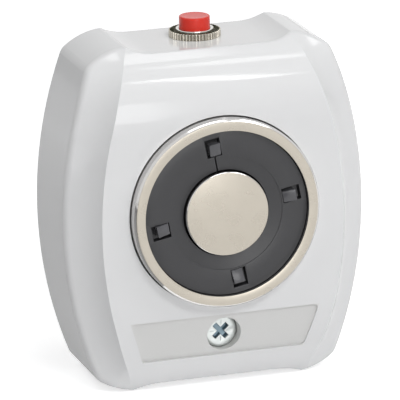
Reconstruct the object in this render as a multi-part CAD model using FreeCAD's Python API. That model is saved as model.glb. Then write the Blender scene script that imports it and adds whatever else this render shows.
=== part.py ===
import FreeCAD, Part
import math
import os

# Electromagnetic door holder, fixed to a wall, with a release button on its top.
# Millimetres. The wall is the plane Y = 0, the front faces -Y, Z points up.
# The origin is the middle of the rear face. F below is the distance from the wall.

# Cover outline, seen from the front
HALF_WIDTH = 41.6
SIDE_RADIUS = 117.0
WAIST_Z = 45.0
WAIST_HALF = 15.5
SHOULDER_RADIUS = 17.8
TOP_HORN_X = 22.9
BOTTOM_HORN_X = 23.6
TOP_HORN_RISE = 1.7
BOTTOM_HORN_RISE = 1.5
TOP_CORNER_DROP = 3.0
BOTTOM_CORNER_DROP = 2.2
CORNER_RADIUS = 4.2

# Cover front: flat panel that rolls back at top and bottom, and two hollow wings;
# a swing is how far round a roll is drawn, in radians
PANEL_F = 33.4
TOP_ROLL_START = 26.0
BOTTOM_ROLL_START = 24.0
TOP_ROLL_RADIUS = 25.0
BOTTOM_ROLL_RADIUS = 38.0
TOP_ROLL_SWING = 1.2
BOTTOM_ROLL_SWING = 0.75
CREASE_X = 33.4
CREASE_Z = -0.7
CREASE_RADIUS = 112.2
WING_EDGE_F = 25.6
WING_HOLLOW = 0.9
WING_DROP_Z = 28.0
WING_DROP_RADIUS = 48.0
EDGE_RADIUS = 2.5
END_EDGE_RADIUS = 1.0
WALL = 2.0

# Magnet: steel cup, pole and coil
MAGNET_Z = 2.8
FACE_PROUD = 3.4
CUP_RADIUS = 25.6
CUP_CHAMFER = 0.6
CUP_INNER = 22.55
CUP_DEPTH = 24.0
CUP_FLOOR = 5.0
POLE_RADIUS = 11.4
POLE_CHAMFER = 0.25
SPIGOT_RADIUS = 6.0
OPENING_GAP = 0.35
COLLAR_LENGTH = 4.0
COLLAR_WALL = 1.5
BOBBIN_SUNK = 1.2
BOBBIN_GAP_INNER = 0.9
BOBBIN_GAP_OUTER = 0.6
BOBBIN_TUBE = 1.2
FRONT_FLANGE = 3.4
REAR_FLANGE = 1.5
WINDING_MARGIN = 1.3
STEP_RADIUS = 15.5
STEP_DEPTH = 0.25
WINDOWS = 4
WINDOW_START = 10.5
WINDOW_INNER = 15.8
WINDOW_OUTER = 20.4
WINDOW_WIDTH = 3.8
WINDOW_DEPTH = 2.4
HOOK_WIDTH = 3.2
HOOK_GAP = 0.2
HOOK_ROOT = 0.6
HOOK_TIP_SUNK = 0.1
SLIT_WIDTH = 0.35

# Base, inside the rear of the cover
BASE_GAP = 0.3
BASE_THICK = 3.0
TOWER_RADIUS = 13.0
TOWER_WALL = 2.5
SEAT_THICK = 4.0
RIB_THICK = 1.6
RIB_HEIGHT = 3.0
SLOT_EDGE = 13.1
SLOT_Z = 26.5
SLOT_WIDTH = 4.5
SLOT_LENGTH = 8.0
CABLE_EDGE = 14.6
CABLE_Z = 6.0
CABLE_RADIUS = 6.0
TONGUE_X = 18.5
TONGUE_WIDTH = 6.0
TONGUE_THICK = 1.6
LEDGE_RISE = 2.2
LEDGE_THICK = 1.6

# Magnet fixing screw, from the rear
M5_RADIUS = 2.5
M5_HEAD_RADIUS = 4.75
M5_HEAD_HEIGHT = 3.5
M5_LENGTH = 16.0
M5_WASHER_RADIUS = 5.5
M5_WASHER_THICK = 1.0
HOLE_GAP = 0.25
THREAD_GAP = 0.05

# Label recess and cover screw
LABEL_TOP_Z = -25.75
LABEL_TOP_HALF = 26.3
LABEL_BOTTOM_Z = -37.6
LABEL_BOTTOM_HALF = 22.5
LABEL_DEPTH = 0.7
LABEL_CORNER = 1.2
SCREW_FACE_F = 28.8
SCREW_HEAD_RADIUS = 4.4
SCREW_HEAD_HEIGHT = 2.4
SCREW_CROWN = 0.7
SCREW_SINK_RADIUS = 4.7
SCREW_RADIUS = 2.0
SCREW_LENGTH = 12.0
BOSS_WALL = 2.0
BOSS_FLOOR = 2.0
CROSS_SPAN = 5.4
CROSS_WIDTH = 1.35
CROSS_DEPTH = 1.7
CROSS_TURN = 42.0
PILLAR_RADIUS = 4.5
INSERT_RADIUS = 2.9
INSERT_LENGTH = 8.0

# Release button
BUTTON_F = 10.8
CAP_RADIUS = 4.125
CAP_HEIGHT = 5.5
CAP_SKIRT = 1.4
CAP_RIM = 0.7
CAP_ROOF = 2.2
CAP_FIT = 0.1
TRAVEL = 1.8
BUSH_RADIUS = 5.0
BUSH_PROUD = 0.4
BUSH_FLANGE = 1.0
NUT_RADIUS = 6.9
NUT_HEIGHT = 1.8
NUT_TEETH = 48
NUT_TOOTH = 0.35
LOCK_WASHER_RADIUS = 6.6
LOCK_WASHER_THICK = 0.8
LOCK_WASHER_TEETH = 12
SWITCH_RADIUS = 6.0
SWITCH_HEIGHT = 10.0
SWITCH_WALL = 1.2
SWITCH_FLOOR = 1.5
STOP_RADIUS = 4.4
STOP_THICK = 1.0
STOP_GAP = 0.25
NECK_RADIUS = 1.6
NOSE_RADIUS = 1.1
SHOULDER_RADIUS_PLUNGER = 2.2
SHOULDER_LENGTH = 2.0
NOSE_LENGTH = 1.6
BRIDGE_RADIUS = 3.9
BRIDGE_THICK = 0.4
CONTACT_GAP = 0.15
LUG_X = 3.2
LUG_WIDTH = 2.0
LUG_THICK = 0.5
LUG_DROP = 4.2
PAD_REACH = 0.7
SPRING_WIRE = 0.4
SPRING_RADIUS = 1.6
SPRING_TURNS = 3.5
SPRING_WIRE_SIDES = 5

# Circuit board, terminal block, diode and inner wires
POST_HEIGHT = 5.6
POST_RADIUS = 3.0
POST_X = 18.0
POST_EDGE = 3.5
BOARD_THICK = 1.6
BOARD_HALF = 21.8
BOARD_TALL = 19.5
BOARD_END_GAP = 4.0
BOARD_CORNER = 2.0
BOARD_SCREW_RADIUS = 1.25
BOARD_SCREW_HEAD = 2.4
BOARD_SCREW_HEAD_HEIGHT = 1.6
BOARD_SCREW_LENGTH = 6.0
POLES = 4
POLE_PITCH = 3.81
BLOCK_X = -21.2
BLOCK_EDGE = 0.6
BLOCK_DEEP = 8.6
BLOCK_TALL = 10.0
BLOCK_CHAMFER = 2.4
WELL_RADIUS = 1.4
CLAMP_WIDTH = 2.8
CLAMP_TALL = 4.2
CLAMP_LONG = 5.0
CLAMP_LIFT = 1.4
CLAMP_HOLE = 0.95
PIN_HALF = 0.45
PIN_PROUD = 1.0
TERMINAL_SCREW_RADIUS = 1.25
TERMINAL_SCREW_LENGTH = 2.8
DIODE_X = 14.5
DIODE_EDGE = 5.5
DIODE_RADIUS = 1.35
DIODE_LENGTH = 5.2
DIODE_LEG = 2.4
DIODE_WIRE = 0.4
LEAD_RADIUS = 0.5
COIL_LEAD_X = 6.0
COIL_LEAD_DROP = 17.3
LEAD_HOLE_RADIUS = 1.5
LEAD_OVER_BOARD = 5.5
SWITCH_LEAD_RUN = 6.0
SWITCH_LEAD_OVER_BOARD = 7.5

# Places that follow from the sizes above; an end is 1 at the top and -1 at the bottom
HORN_X = {1: TOP_HORN_X, -1: BOTTOM_HORN_X}
HORN_RISE = {1: TOP_HORN_RISE, -1: BOTTOM_HORN_RISE}
CORNER_Z = {1: WAIST_Z - TOP_CORNER_DROP, -1: WAIST_Z - BOTTOM_CORNER_DROP}
ROLL_START = {1: TOP_ROLL_START, -1: BOTTOM_ROLL_START}
ROLL_RADIUS = {1: TOP_ROLL_RADIUS, -1: BOTTOM_ROLL_RADIUS}
ROLL_SWING = {1: TOP_ROLL_SWING, -1: BOTTOM_ROLL_SWING}
END_Z = WAIST_Z - EDGE_RADIUS / 2
SLOT_X = HALF_WIDTH - SLOT_EDGE
CABLE_X = CABLE_EDGE - HALF_WIDTH
FACE_F = PANEL_F + FACE_PROUD
CUP_REAR_F = FACE_F - CUP_DEPTH
CUP_FLOOR_F = CUP_REAR_F + CUP_FLOOR
BOBBIN_F = FACE_F - BOBBIN_SUNK
BOBBIN_INNER = POLE_RADIUS + BOBBIN_GAP_INNER
BOBBIN_OUTER = CUP_INNER - BOBBIN_GAP_OUTER
SCREW_Z = (LABEL_TOP_Z + LABEL_BOTTOM_Z) / 2
SCREW_SEAT_F = SCREW_FACE_F - SCREW_HEAD_HEIGHT
PILLAR_F = SCREW_SEAT_F - BOSS_FLOOR
SEAT_REAR_F = CUP_REAR_F - SEAT_THICK
BOARD_F = BASE_THICK + POST_HEIGHT
BOARD_BOTTOM_Z = BOARD_END_GAP - WAIST_Z
BOARD_TOP_Z = BOARD_BOTTOM_Z + BOARD_TALL
POST_Z = BOARD_TOP_Z - POST_EDGE
BLOCK_Z = BOARD_BOTTOM_Z + BLOCK_EDGE
DIODE_Z = BOARD_BOTTOM_Z + DIODE_EDGE
BOARD_FRONT_F = BOARD_F + BOARD_THICK
CEILING_Z = WAIST_Z - WALL
BUSH_BASE_Z = CEILING_Z - LOCK_WASHER_THICK
SWITCH_TOP_Z = BUSH_BASE_Z - BUSH_FLANGE
SWITCH_BOTTOM_Z = SWITCH_TOP_Z - SWITCH_HEIGHT
SWITCH_FLOOR_Z = SWITCH_BOTTOM_Z + SWITCH_FLOOR
CAP_TOP_Z = WAIST_Z + CAP_HEIGHT
STOP_TOP_Z = SWITCH_TOP_Z - STOP_GAP
STOP_BASE_Z = STOP_TOP_Z - STOP_THICK
BRIDGE_TOP_Z = STOP_BASE_Z - SHOULDER_LENGTH
BRIDGE_BASE_Z = BRIDGE_TOP_Z - BRIDGE_THICK
CONTACT_Z = BRIDGE_BASE_Z - TRAVEL - CONTACT_GAP
LUG_BOTTOM_Z = SWITCH_BOTTOM_Z - LUG_DROP
LEAD_F = BOARD_FRONT_F + LEAD_RADIUS
FORWARD = FreeCAD.Vector(0, -1, 0)
UP = FreeCAD.Vector(0, 0, 1)
RIGHT = FreeCAD.Vector(1, 0, 0)
BEYOND = 60.0
OVERRUN = 6.0


def at(x, f, z):
    return FreeCAD.Vector(x, -f, z)


def straight(a, b):
    return Part.LineSegment(a, b).toShape()


def curved(a, middle, b):
    return Part.Arc(a, middle, b).toShape()


def rod(x, z, f0, f1, radius):
    return Part.makeCylinder(radius, f1 - f0, at(x, f0, z), FORWARD)


def block(x0, x1, f0, f1, z0, z1):
    return Part.makeBox(x1 - x0, f1 - f0, z1 - z0, at(x0, f1, z0))


def column(x, f, z0, z1, radius):
    return Part.makeCylinder(radius, z1 - z0, at(x, f, z0), UP)


def turned_forward(x, z, corners):
    """Solid turned about a line square to the wall; corners are (radius, F)."""
    points = [at(x + r, f, z) for r, f in corners]
    face = Part.Face(Part.makePolygon(points + points[:1]))
    return face.revolve(at(x, 0, z), FORWARD, 360)


def turned_upright(x, f, corners):
    """Solid turned about an upright line; corners are (radius, Z)."""
    points = [at(x + r, f, z) for r, z in corners]
    face = Part.Face(Part.makePolygon(points + points[:1]))
    return face.revolve(at(x, f, 0), UP, 360)


def domed_head(x, z, f0, f1, radius):
    """Screw head with a sloped rim at its free end f1, which lies before or behind f0."""
    slope = (f1 - f0) / 2
    return turned_forward(x, z, [
        (0, f0),
        (radius, f0),
        (radius, f1 - slope),
        (radius - abs(slope) * 0.8, f1),
        (0, f1),
    ])


# Cover

def side_x(z):
    return HALF_WIDTH - (SIDE_RADIUS - math.sqrt(SIDE_RADIUS ** 2 - z * z))


def crease_x(z):
    return CREASE_X - (CREASE_RADIUS - math.sqrt(CREASE_RADIUS ** 2 - (z - CREASE_Z) ** 2))


def panel_f(z):
    """Front panel, which rolls back towards the top and the bottom."""
    end = 1 if z > 0 else -1
    radius = ROLL_RADIUS[end]
    past = min(max(0.0, abs(z) - ROLL_START[end]), 0.98 * radius)
    return PANEL_F - (radius - math.sqrt(radius ** 2 - past ** 2))


def wing_edge_f(z):
    """Line where a wing would meet the side wall, falling away near the top."""
    past = max(0.0, z - WING_DROP_Z)
    return WING_EDGE_F - (WING_DROP_RADIUS - math.sqrt(WING_DROP_RADIUS ** 2 - past ** 2))


def outline_arc(a, b, radius, outwards):
    half = (b - a).Length / 2
    across = FreeCAD.Vector(a.z - b.z, 0, b.x - a.x).normalize()
    if across.dot(outwards) < 0:
        across = across * -1
    rise = radius - math.sqrt(radius ** 2 - half ** 2)
    return curved(a, (a + b) * 0.5 + across * rise, b)


def corner_point(end, side):
    return at(side * side_x(CORNER_Z[end]), 0, end * CORNER_Z[end])


def cover_outline():
    """Bowed sides, round shoulders, and a waist between two horns at top and bottom."""
    edges = []
    for end in (1, -1):
        edges.append(straight(at(-WAIST_HALF, 0, end * WAIST_Z), at(WAIST_HALF, 0, end * WAIST_Z)))
        run = HORN_X[end] - WAIST_HALF
        waist_radius = (run ** 2 + HORN_RISE[end] ** 2) / (2 * HORN_RISE[end])
        for side in (1, -1):
            waist = at(side * WAIST_HALF, 0, end * WAIST_Z)
            horn = at(side * HORN_X[end], 0, end * (WAIST_Z + HORN_RISE[end]))
            edges.append(outline_arc(waist, horn, waist_radius, at(side * 0.3, 0, -end)))
            edges.append(outline_arc(horn, corner_point(end, side), SHOULDER_RADIUS, at(side, 0, end)))
    for side in (1, -1):
        edges.append(curved(corner_point(1, side), at(side * HALF_WIDTH, 0, 0), corner_point(-1, side)))
    return Part.Face(Part.Wire(Part.__sortEdges__(edges)))


def column_of_outline(face, depth, corner_radius, inset):
    """Outline pushed forward from the wall, with its four corners rounded."""
    solid = face.extrude(FORWARD * depth)
    uprights = []
    for edge in solid.Edges:
        a, b = edge.Vertexes[0].Point, edge.Vertexes[-1].Point
        if abs(a.x - b.x) > 1e-5 or abs(a.z - b.z) > 1e-5 or edge.Length < depth / 2:
            continue
        for end in (1, -1):
            for side in (1, -1):
                away = a - corner_point(end, side)
                if math.hypot(away.x, away.z) < 2.0 * inset + 0.01:
                    uprights.append(edge)
    return solid.makeFillet(corner_radius, uprights)


def wing_point(z, side, share):
    """Hollow arc from the crease (share 0) to the wall edge (share 1), and past both."""
    crease, front = crease_x(z), panel_f(z)
    edge, edge_f = side_x(z), wing_edge_f(z)
    run, fall = edge - crease, front - edge_f
    chord = math.hypot(run, fall)
    hollow = max(0.03, WING_HOLLOW * fall / (PANEL_F - WING_EDGE_F))
    radius = (chord ** 2 / 4 + hollow ** 2) / (2 * hollow)
    half = math.asin(chord / 2 / radius)
    lean = math.atan2(fall, run)
    centre_x = (crease + edge) / 2 + math.sin(lean) * (radius - hollow)
    centre_f = (front + edge_f) / 2 + math.cos(lean) * (radius - hollow)
    angle = lean + (0.5 - share) * 2 * half
    x = centre_x - radius * math.sin(angle)
    f = centre_f - radius * math.cos(angle)
    return at(side * x, f, z)


def wing_cutter(side, inset):
    """All that lies in front of one wing, moved in by inset."""
    reach = WAIST_Z + OVERRUN
    rows, columns = 12, 6
    first_share, last_share = -0.35, 1.6
    heights = [reach * (2 * i / rows - 1) for i in range(rows + 1)]
    shares = [first_share + (last_share - first_share) * k / columns for k in range(columns + 1)]
    surface = Part.BSplineSurface()
    surface.interpolate([[wing_point(z, side, share) for share in shares] for z in heights])
    cutter = surface.toShape().extrude(FORWARD * BEYOND)
    step = inset / math.sqrt(2)
    cutter.translate(at(-side * step, -step, 0))
    return cutter


def panel_cutter(inset):
    """All that lies in front of the panel, moved in by inset."""
    def roll(end, angle):
        radius = ROLL_RADIUS[end]
        f = PANEL_F - radius + (radius - inset) * math.cos(angle)
        return at(-BEYOND, f, end * (ROLL_START[end] + (radius - inset) * math.sin(angle)))

    edges = [straight(roll(-1, 0), roll(1, 0))]
    for end in (1, -1):
        swing = ROLL_SWING[end]
        edges.append(curved(roll(end, 0), roll(end, swing / 2), roll(end, swing)))
        edges.append(straight(roll(end, swing), at(-BEYOND, BEYOND, roll(end, swing).z)))
    edges.append(straight(edges[2].Vertexes[1].Point, edges[4].Vertexes[1].Point))
    return Part.Face(Part.Wire(Part.__sortEdges__(edges))).extrude(RIGHT * 2 * BEYOND)


def cover_form(inset):
    """The cover's form as a full solid: the outer one, or its hollow when moved in."""
    face = cover_outline()
    if inset > 0:
        face = face.makeOffset2D(-inset)
    form = column_of_outline(face, PANEL_F + OVERRUN, CORNER_RADIUS - inset, inset)
    form = form.cut(panel_cutter(inset))
    for side in (1, -1):
        form = form.cut(wing_cutter(side, inset))
    return form


def is_upright_wall(face):
    u0, u1, v0, v1 = face.ParameterRange
    return abs(face.normalAt((u0 + u1) / 2, (v0 + v1) / 2).y) < 1e-4


def front_rim(form, at_ends):
    """Edges where an upright wall meets the panel or a wing, along the sides or at both ends."""
    walls = [face for face in form.Faces if is_upright_wall(face)]
    fronts = [face for face in form.Faces if not is_upright_wall(face) and face.BoundBox.YMax < -1]
    rim = []
    for wall in walls:
        for edge in wall.Edges:
            if (abs(edge.CenterOfMass.z) > END_Z) != at_ends:
                continue
            if any(edge.isSame(other) for face in fronts for other in face.Edges):
                rim.append(edge)
    return rim


def label_recess():
    """Shallow field for a rating label, left bare, that follows the panel."""
    corners = [
        at(-LABEL_TOP_HALF, 0, LABEL_TOP_Z),
        at(LABEL_TOP_HALF, 0, LABEL_TOP_Z),
        at(LABEL_BOTTOM_HALF, 0, LABEL_BOTTOM_Z),
        at(-LABEL_BOTTOM_HALF, 0, LABEL_BOTTOM_Z),
    ]
    prism = Part.Face(Part.makePolygon(corners + corners[:1])).extrude(FORWARD * BEYOND)
    upright = [e for e in prism.Edges if e.BoundBox.YLength > BEYOND / 2]
    return prism.makeFillet(LABEL_CORNER, upright).common(panel_cutter(LABEL_DEPTH))


def ledge(side):
    """Ledge inside the top wall, behind which a tongue of the base hooks."""
    x = side * TONGUE_X
    half = TONGUE_WIDTH / 2
    return block(x - half, x + half, 0, LEDGE_THICK, CEILING_Z - LEDGE_RISE, WAIST_Z)


def cover():
    outer = cover_form(0)
    outer = outer.makeFillet(EDGE_RADIUS, front_rim(outer, False))
    outer = outer.makeFillet(END_EDGE_RADIUS, front_rim(outer, True))
    shell = outer.cut(cover_form(WALL))
    opening = CUP_RADIUS + OPENING_GAP
    collar = rod(0, MAGNET_Z, PANEL_F - WALL - COLLAR_LENGTH, PANEL_F, opening + COLLAR_WALL)
    boss = rod(0, SCREW_Z, PILLAR_F, PANEL_F, SCREW_SINK_RADIUS + BOSS_WALL)
    shell = shell.fuse([collar.common(outer), boss.common(outer)])
    shell = shell.fuse([ledge(1).common(outer), ledge(-1).common(outer)])
    shell = shell.cut(rod(0, MAGNET_Z, 0, BEYOND, opening))
    shell = shell.cut(rod(0, SCREW_Z, SCREW_SEAT_F, BEYOND, SCREW_SINK_RADIUS))
    shell = shell.cut(rod(0, SCREW_Z, 0, BEYOND, SCREW_RADIUS + HOLE_GAP))
    shell = shell.cut(label_recess())
    shell = shell.cut(column(0, BUTTON_F, 0, 2 * WAIST_Z, BUSH_RADIUS + CAP_FIT))
    return shell


# Base

def slot_cutter(x, z):
    half = (SLOT_LENGTH - SLOT_WIDTH) / 2
    middle = block(x - half, x + half, 0, BASE_THICK, z - SLOT_WIDTH / 2, z + SLOT_WIDTH / 2)
    ends = [rod(x + way * half, z, 0, BASE_THICK, SLOT_WIDTH / 2) for way in (1, -1)]
    return middle.fuse(ends)


def tongue(side):
    """Tongue on the top edge that hooks in front of a ledge of the cover."""
    x = side * TONGUE_X
    half = TONGUE_WIDTH / 2 - BASE_GAP
    top = CEILING_Z - BASE_GAP
    root = top - LEDGE_RISE - TONGUE_THICK
    front = BASE_THICK + TONGUE_THICK
    arm = block(x - half, x + half, LEDGE_THICK + BASE_GAP, front, root, top)
    heel = block(x - half, x + half, BASE_THICK / 2, front, root - TONGUE_THICK, root + TONGUE_THICK)
    return arm.fuse(heel)


def tongue_notch(side):
    x = side * TONGUE_X
    half = TONGUE_WIDTH / 2 + BASE_GAP
    low = CEILING_Z - LEDGE_RISE - BASE_GAP
    return block(x - half, x + half, 0, BASE_THICK, low, 2 * WAIST_Z)


def rib(x0, x1, z0, z1):
    return block(x0, x1, BASE_THICK, BASE_THICK + RIB_HEIGHT, z0, z1)


def base():
    inset = WALL + BASE_GAP
    plate = column_of_outline(cover_outline().makeOffset2D(-inset), BASE_THICK, CORNER_RADIUS - WALL, inset)
    tower = rod(0, MAGNET_Z, 0, CUP_REAR_F, TOWER_RADIUS)
    pillar = rod(0, SCREW_Z, 0, PILLAR_F, PILLAR_RADIUS)
    posts = [rod(side * POST_X, POST_Z, 0, BOARD_F, POST_RADIUS) for side in (1, -1)]
    half = RIB_THICK / 2
    ribs = [
        rib(-half, half, SCREW_Z, MAGNET_Z),
        rib(-half, half, MAGNET_Z, SWITCH_BOTTOM_Z - WALL),
        rib(-half - CABLE_RADIUS, HALF_WIDTH - 3 * WALL, MAGNET_Z - half, MAGNET_Z + half),
    ]
    body = plate.fuse([tower, pillar] + posts + ribs)
    body = body.cut([tongue_notch(1), tongue_notch(-1)])
    body = body.fuse([tongue(1), tongue(-1)])
    cavity = TOWER_RADIUS - TOWER_WALL
    cuts = [rod(0, MAGNET_Z, 0, SEAT_REAR_F, cavity)]
    cuts.append(rod(0, MAGNET_Z, 0, CUP_REAR_F, M5_RADIUS + HOLE_GAP))
    cuts.append(rod(0, SCREW_Z, PILLAR_F - INSERT_LENGTH, PILLAR_F, INSERT_RADIUS))
    cuts.append(rod(0, SCREW_Z, SCREW_SEAT_F - SCREW_LENGTH - 1, PILLAR_F, SCREW_RADIUS + HOLE_GAP))
    cuts.append(rod(CABLE_X, CABLE_Z, 0, BASE_THICK, CABLE_RADIUS))
    for side in (1, -1):
        pilot = BOARD_FRONT_F - BOARD_SCREW_LENGTH
        cuts.append(rod(side * POST_X, POST_Z, pilot, BOARD_F, BOARD_SCREW_RADIUS))
        for end in (1, -1):
            cuts.append(slot_cutter(side * SLOT_X, end * SLOT_Z))
    return body.cut(cuts)


# Magnet

def magnet_cup():
    cup = turned_forward(0, MAGNET_Z, [
        (SPIGOT_RADIUS, CUP_REAR_F),
        (CUP_RADIUS - CUP_CHAMFER, CUP_REAR_F),
        (CUP_RADIUS, CUP_REAR_F + CUP_CHAMFER),
        (CUP_RADIUS, FACE_F - CUP_CHAMFER),
        (CUP_RADIUS - CUP_CHAMFER, FACE_F),
        (CUP_INNER, FACE_F),
        (CUP_INNER, CUP_FLOOR_F),
        (SPIGOT_RADIUS, CUP_FLOOR_F),
    ])
    return cup.cut(lead_holes())


def lead_holes():
    z = MAGNET_Z - COIL_LEAD_DROP
    front = CUP_FLOOR_F + REAR_FLANGE
    return [rod(side * COIL_LEAD_X, z, 0, front, LEAD_HOLE_RADIUS) for side in (1, -1)]


def magnet_core():
    bore = M5_RADIUS + THREAD_GAP
    bore_end = SEAT_REAR_F - M5_WASHER_THICK + M5_LENGTH + 1
    return turned_forward(0, MAGNET_Z, [
        (bore, CUP_REAR_F),
        (SPIGOT_RADIUS, CUP_REAR_F),
        (SPIGOT_RADIUS, CUP_FLOOR_F),
        (POLE_RADIUS, CUP_FLOOR_F),
        (POLE_RADIUS, FACE_F - POLE_CHAMFER),
        (POLE_RADIUS - POLE_CHAMFER, FACE_F),
        (0, FACE_F),
        (0, bore_end + bore / 2),
        (bore, bore_end),
    ])


def in_window(solid, turn):
    """Carries a piece drawn at the right of the magnet to its place round the pole."""
    moved = solid.copy()
    moved.rotate(at(0, 0, MAGNET_Z), FORWARD, turn)
    return moved


def window_hook():
    """Springy hook in a window: a ramp that rises towards the rim of the bobbin."""
    low, high = BOBBIN_F - WINDOW_DEPTH, BOBBIN_F - HOOK_TIP_SUNK
    side = MAGNET_Z - WINDOW_WIDTH / 2 + HOOK_GAP
    inner, outer = WINDOW_INNER + HOOK_GAP, WINDOW_OUTER - HOOK_GAP
    corners = [
        at(inner, low - HOOK_ROOT, side),
        at(outer, low - HOOK_ROOT, side),
        at(outer, high, side),
        at(inner, low + HOOK_ROOT, side),
    ]
    return Part.Face(Part.makePolygon(corners + corners[:1])).extrude(UP * HOOK_WIDTH)


def coil_bobbin():
    spool = turned_forward(0, MAGNET_Z, [
        (BOBBIN_INNER, CUP_FLOOR_F),
        (BOBBIN_OUTER, CUP_FLOOR_F),
        (BOBBIN_OUTER, CUP_FLOOR_F + REAR_FLANGE),
        (BOBBIN_INNER + BOBBIN_TUBE, CUP_FLOOR_F + REAR_FLANGE),
        (BOBBIN_INNER + BOBBIN_TUBE, BOBBIN_F - FRONT_FLANGE),
        (BOBBIN_OUTER, BOBBIN_F - FRONT_FLANGE),
        (BOBBIN_OUTER, BOBBIN_F),
        (STEP_RADIUS, BOBBIN_F),
        (STEP_RADIUS, BOBBIN_F - STEP_DEPTH),
        (BOBBIN_INNER, BOBBIN_F - STEP_DEPTH),
    ])
    half = WINDOW_WIDTH / 2
    window = block(
        WINDOW_INNER, WINDOW_OUTER, BOBBIN_F - WINDOW_DEPTH, FACE_F, MAGNET_Z - half, MAGNET_Z + half
    )
    turns = [WINDOW_START + 360 / WINDOWS * i for i in range(WINDOWS)]
    spool = spool.cut([in_window(window, turn) for turn in turns] + lead_holes())
    spool = spool.fuse([in_window(window_hook(), turn) for turn in turns])
    slit = block(
        BOBBIN_INNER, WINDOW_INNER, BOBBIN_F - WINDOW_DEPTH, FACE_F,
        MAGNET_Z - SLIT_WIDTH / 2, MAGNET_Z + SLIT_WIDTH / 2
    )
    return spool.cut(in_window(slit, turns[1]))


def coil_winding():
    rear, front = CUP_FLOOR_F + REAR_FLANGE, BOBBIN_F - FRONT_FLANGE
    outer = rod(0, MAGNET_Z, rear, front, BOBBIN_OUTER - WINDING_MARGIN)
    return outer.cut(rod(0, MAGNET_Z, rear, front, BOBBIN_INNER + BOBBIN_TUBE))


def magnet_screw():
    under = SEAT_REAR_F - M5_WASHER_THICK
    head = domed_head(0, MAGNET_Z, under, under - M5_HEAD_HEIGHT, M5_HEAD_RADIUS)
    screw = head.fuse(rod(0, MAGNET_Z, under, under + M5_LENGTH, M5_RADIUS))
    return screw.cut(cross_recess(0, MAGNET_Z, under - M5_HEAD_HEIGHT, -1, 0))


def magnet_washer():
    rear = SEAT_REAR_F - M5_WASHER_THICK
    washer = rod(0, MAGNET_Z, rear, SEAT_REAR_F, M5_WASHER_RADIUS)
    return washer.cut(rod(0, MAGNET_Z, rear, SEAT_REAR_F, M5_RADIUS + HOLE_GAP))


# Cover screw

def cross_recess(x, z, f, way, turn):
    """Four tapered arms that meet in a pointed well; way is 1 in a front face, -1 in a rear one."""
    arms = []
    half = CROSS_WIDTH / 2
    deep = CROSS_DEPTH
    for quarter in (0, 90):
        corners = [
            at(x - CROSS_SPAN / 2, f + way * 0.1, z - half),
            at(x + CROSS_SPAN / 2, f + way * 0.1, z - half),
            at(x + CROSS_SPAN / 3.2, f - way * deep, z - half),
            at(x - CROSS_SPAN / 3.2, f - way * deep, z - half),
        ]
        arm = Part.Face(Part.makePolygon(corners + corners[:1])).extrude(UP * CROSS_WIDTH)
        arm.rotate(at(x, 0, z), FORWARD, turn + quarter)
        arms.append(arm)
    well = Part.makeCone(CROSS_WIDTH, CROSS_WIDTH / 2, deep, at(x, f, z), FORWARD * -way)
    return arms[0].fuse([arms[1], well])


def cover_screw():
    """Pan head with a crowned top, sunk in the label field."""
    rim_f = SCREW_FACE_F - SCREW_CROWN
    centre = at(0, 0, SCREW_Z)
    profile = Part.Wire([
        straight(at(0, SCREW_SEAT_F, SCREW_Z), at(SCREW_HEAD_RADIUS, SCREW_SEAT_F, SCREW_Z)),
        straight(at(SCREW_HEAD_RADIUS, SCREW_SEAT_F, SCREW_Z), at(SCREW_HEAD_RADIUS, rim_f, SCREW_Z)),
        curved(
            at(SCREW_HEAD_RADIUS, rim_f, SCREW_Z),
            at(SCREW_HEAD_RADIUS * 0.88, SCREW_FACE_F - SCREW_CROWN * 0.35, SCREW_Z),
            at(SCREW_HEAD_RADIUS * 0.62, SCREW_FACE_F, SCREW_Z),
        ),
        straight(at(SCREW_HEAD_RADIUS * 0.62, SCREW_FACE_F, SCREW_Z), at(0, SCREW_FACE_F, SCREW_Z)),
        straight(at(0, SCREW_FACE_F, SCREW_Z), at(0, SCREW_SEAT_F, SCREW_Z)),
    ])
    head = Part.Face(profile).revolve(centre, FORWARD, 360)
    screw = head.fuse(rod(0, SCREW_Z, SCREW_SEAT_F - SCREW_LENGTH, SCREW_SEAT_F, SCREW_RADIUS))
    return screw.cut(cross_recess(0, SCREW_Z, SCREW_FACE_F, 1, CROSS_TURN))


def screw_insert():
    insert = rod(0, SCREW_Z, PILLAR_F - INSERT_LENGTH, PILLAR_F, INSERT_RADIUS)
    return insert.cut(rod(0, SCREW_Z, 0, PILLAR_F, SCREW_RADIUS + THREAD_GAP))


# Release button

def knurled_nut():
    """Round nut with an upright knurl."""
    points = []
    for i in range(2 * NUT_TEETH):
        radius = NUT_RADIUS - (NUT_TOOTH if i % 2 else 0)
        angle = math.pi * i / NUT_TEETH
        points.append(at(radius * math.cos(angle), BUTTON_F + radius * math.sin(angle), WAIST_Z))
    nut = Part.Face(Part.makePolygon(points + points[:1])).extrude(UP * NUT_HEIGHT)
    return nut.cut(column(0, BUTTON_F, WAIST_Z, WAIST_Z + NUT_HEIGHT, BUSH_RADIUS + THREAD_GAP))


def button_bush():
    bore = CAP_RADIUS + CAP_FIT
    top = WAIST_Z + NUT_HEIGHT + BUSH_PROUD
    return turned_upright(0, BUTTON_F, [
        (bore, SWITCH_TOP_Z),
        (SWITCH_RADIUS, SWITCH_TOP_Z),
        (SWITCH_RADIUS, BUSH_BASE_Z),
        (BUSH_RADIUS, BUSH_BASE_Z),
        (BUSH_RADIUS, top - CAP_FIT),
        (BUSH_RADIUS - CAP_FIT, top),
        (bore, top),
    ])


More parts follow.
